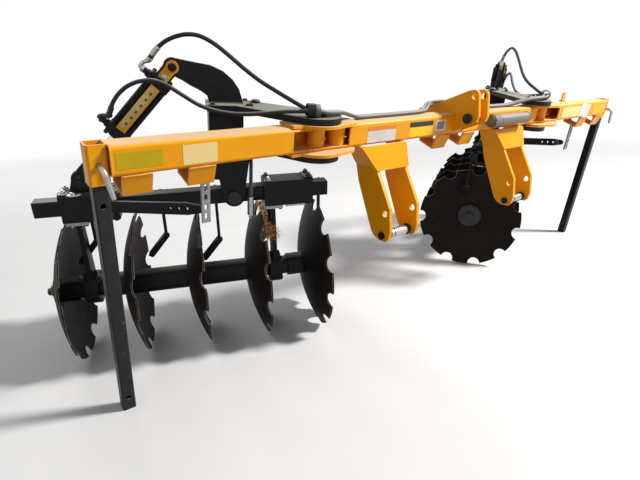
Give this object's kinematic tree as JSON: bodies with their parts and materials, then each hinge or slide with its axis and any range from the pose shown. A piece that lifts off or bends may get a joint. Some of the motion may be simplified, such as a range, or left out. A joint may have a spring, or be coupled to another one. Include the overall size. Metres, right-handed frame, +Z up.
{
  "type": "disc levee plough",
  "caption": "Three-point-mounted levee plough: a square toolbar with a mast, two clevises and two parking legs carries two angled disc gangs, each tilted by a cylinder.",
  "frame": {"origin": "on the ground, under the middle of the whole machine, parked on its legs and discs", "axes": "+X along the toolbar toward the left-hand end of the machine, -Y toward the tractor, +Z up"},
  "size_m": [3.7055, 1.3377, 1.4303],
  "materials": {
    "yellow_paint": "semi-gloss",
    "black_paint": "semi-gloss",
    "worn_disc_steel": "satin",
    "bare_steel": "satin",
    "dark_steel": "satin",
    "zinc": "satin",
    "galvanised": "satin",
    "grey_plastic": "satin",
    "hose_rubber": "satin",
    "rod_chrome": "polished"
  },
  "bodies": {
    "frame": {"toolbar": "yellow_paint", "leg_sockets": "yellow_paint", "leg_pins": "zinc", "mast_plates": "yellow_paint", "mast_pin": "dark_steel", "hitch_clevises": "yellow_paint", "hitch_pins": "zinc", "saddle_brackets": "yellow_paint", "swivel_brackets": "yellow_paint", "angle_straps": "galvanised", "document_tube": "grey_plastic", "marker_tab": "yellow_paint", "front_supply_hose": "hose_rubber", "rear_supply_hose": "hose_rubber", "carriers": "black_paint", "goosenecks": "black_paint", "swivel_pins": "black_paint", "hose_rings": "black_paint", "stop_rods": "zinc", "right_upper_hose": "hose_rubber", "left_upper_hose": "hose_rubber", "right_lower_hose": "hose_rubber", "left_lower_hose": "hose_rubber"},
    "right_leg": {"right_leg": "bare_steel"},
    "left_leg": {"left_leg": "black_paint"},
    "right_gang": {"right_gang_beam": "black_paint", "right_beam_clamps": "black_paint", "right_bearing_hangers": "black_paint", "right_scrapers": "black_paint", "right_brace_bar": "black_paint", "right_tilt_pin": "dark_steel"},
    "right_discs": {"right_discs": "worn_disc_steel", "right_spools": "black_paint", "right_axle_bolt": "dark_steel"},
    "right_barrel": {"right_barrel": "black_paint", "right_scale_bar": "yellow_paint"},
    "right_rod": {"right_rod": "rod_chrome"},
    "left_gang": {"left_gang_beam": "black_paint", "left_beam_clamps": "black_paint", "left_bearing_hangers": "black_paint", "left_scrapers": "black_paint", "left_brace_bar": "black_paint", "left_tilt_pin": "dark_steel"},
    "left_discs": {"left_discs": "worn_disc_steel", "left_spools": "black_paint", "left_axle_bolt": "dark_steel"},
    "left_barrel": {"left_barrel": "black_paint", "left_scale_bar": "yellow_paint"},
    "left_rod": {"left_rod": "rod_chrome"}
  },
  "joints": [
    {"name": "right_leg_slide", "type": "slide", "parent": "frame", "child": "right_leg", "axis": [0, -0.1547, 0.988], "range_m": [0, 0.86]},
    {"name": "left_leg_slide", "type": "slide", "parent": "frame", "child": "left_leg", "axis": [0, -0.1547, 0.988], "range_m": [0, 0.86]},
    {"name": "right_gang_tilt", "type": "hinge", "parent": "frame", "child": "right_gang", "pos_m": [-1.05602, -0.09457, 0.73976], "axis": [0.3843, 0.9121, 0.1428], "range_deg": [-10, 10]},
    {"name": "right_disc_spin", "type": "hinge", "parent": "right_gang", "child": "right_discs", "pos_m": [-1.03306, -0.04008, 0.33], "axis": [0.9215, -0.3883, 0], "continuous": true},
    {"name": "right_barrel_swing", "type": "hinge", "parent": "frame", "child": "right_barrel", "pos_m": [-1.27944, -0.08825, 1.30049], "axis": [0.3843, 0.9121, 0.1428], "range_deg": [-7, 7]},
    {"name": "right_rod_slide", "type": "slide", "parent": "right_barrel", "child": "right_rod", "axis": [-0.6034, 0.3652, -0.7089], "range_m": [-0.1, 0.1]},
    {"name": "left_gang_tilt", "type": "hinge", "parent": "frame", "child": "left_gang", "pos_m": [0.98663, -0.06165, 0.7405], "axis": [0.5446, -0.8286, -0.1298], "range_deg": [-10, 10]},
    {"name": "left_disc_spin", "type": "hinge", "parent": "left_gang", "child": "left_discs", "pos_m": [0.95712, -0.01676, 0.33], "axis": [-0.8356, -0.5493, 0], "continuous": true},
    {"name": "left_barrel_swing", "type": "hinge", "parent": "frame", "child": "left_barrel", "pos_m": [1.18958, -0.01699, 1.30723], "axis": [0.5446, -0.8286, -0.1298], "range_deg": [-7, 7]},
    {"name": "left_rod_slide", "type": "slide", "parent": "left_barrel", "child": "left_rod", "axis": [0.5389, 0.4643, -0.7028], "range_m": [-0.1, 0.1]}
  ],
  "couplings": [
    {"joint": "right_barrel_swing", "follows": "right_gang_tilt", "ratio": 0.5814},
    {"joint": "right_rod_slide", "follows": "right_gang_tilt", "m_per_rad": -0.5441},
    {"joint": "left_barrel_swing", "follows": "left_gang_tilt", "ratio": 0.5778},
    {"joint": "left_rod_slide", "follows": "left_gang_tilt", "m_per_rad": -0.5403}
  ]
}
